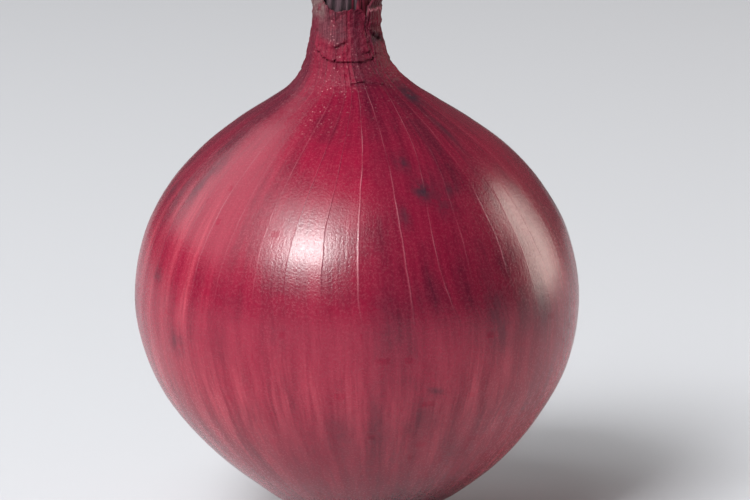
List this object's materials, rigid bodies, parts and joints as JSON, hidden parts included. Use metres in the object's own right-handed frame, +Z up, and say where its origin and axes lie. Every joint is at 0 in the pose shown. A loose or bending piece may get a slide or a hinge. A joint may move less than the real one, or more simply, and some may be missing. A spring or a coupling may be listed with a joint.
{
  "type": "red onion set",
  "caption": "Small red onion bulb for planting, upright on its root plate, with a pleated dry neck, torn leaf bases and short dried roots.",
  "frame": {"origin": "centre of the flat underside of the root plate, at the base of the bulb", "axes": "+Z up through the neck, -Y towards the side that the picture shows, +X to its right"},
  "size_m": [0.0242, 0.0242, 0.0321],
  "materials": {
    "dry_skin": "satin",
    "dried_leaf": "matte",
    "corky_root": "matte"
  },
  "bodies": {
    "root": {"bulb": "dry_skin", "neck_leaves": "dried_leaf", "root_plate": "corky_root"}
  },
  "joints": []
}
